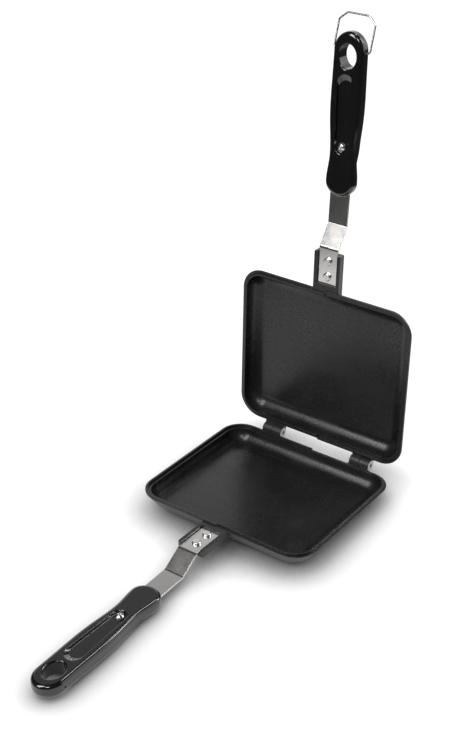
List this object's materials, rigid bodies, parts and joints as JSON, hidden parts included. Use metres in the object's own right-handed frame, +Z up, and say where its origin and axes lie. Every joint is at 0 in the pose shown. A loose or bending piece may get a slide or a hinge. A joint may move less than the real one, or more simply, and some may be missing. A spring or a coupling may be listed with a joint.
{
  "type": "pie iron",
  "caption": "Hinged rectangular nonstick pie iron: two shallow dished pans that close on each other, straps riveted to them, slim black handles and a wire bail.",
  "frame": {"origin": "centre of the lower pan's flat underside", "axes": "+X to the right seen from the handle, along the hinge; +Y from the handle towards the hinge; +Z up. The lower half lies level and the upper half stands open at 90.5 degrees"},
  "size_m": [0.15, 0.3566, 0.3627],
  "materials": {
    "pan_coat": "cast aluminium under a satin black non-stick coat",
    "strap_steel": "brushed stainless strip",
    "rivet_metal": "bright aluminium",
    "handle_plastic": "glossy black phenolic moulding",
    "screw_chrome": "plated",
    "washer_steel": "plated spring steel",
    "pin_steel": "plain steel",
    "bail_wire": "bright drawn wire"
  },
  "bodies": {
    "lower_half": {"lower_pan": "pan_coat", "lower_strap": "strap_steel", "lower_front_rivet": "rivet_metal", "lower_rear_rivet": "rivet_metal", "lower_handle": "handle_plastic", "lower_handle_screw": "screw_chrome", "lower_spring_washer": "washer_steel", "left_hinge_pin": "pin_steel", "right_hinge_pin": "pin_steel"},
    "upper_half": {"upper_pan": "pan_coat", "upper_strap": "strap_steel", "upper_front_rivet": "rivet_metal", "upper_rear_rivet": "rivet_metal", "upper_handle": "handle_plastic", "upper_handle_screw": "screw_chrome", "upper_spring_washer": "washer_steel"},
    "bail": {"hanging_bail": "bail_wire"}
  },
  "joints": [
    {"name": "lid_hinge", "type": "hinge", "parent": "lower_half", "child": "upper_half", "pos_m": [0, 0.07115, 0.014], "axis": [1, 0, 0], "range_deg": [0, 90.5]},
    {"name": "bail_hinge", "type": "hinge", "parent": "upper_half", "child": "bail", "pos_m": [0, 0.09243, 0.32735], "axis": [1, 0, 0], "range_deg": [-145, 173]}
  ]
}
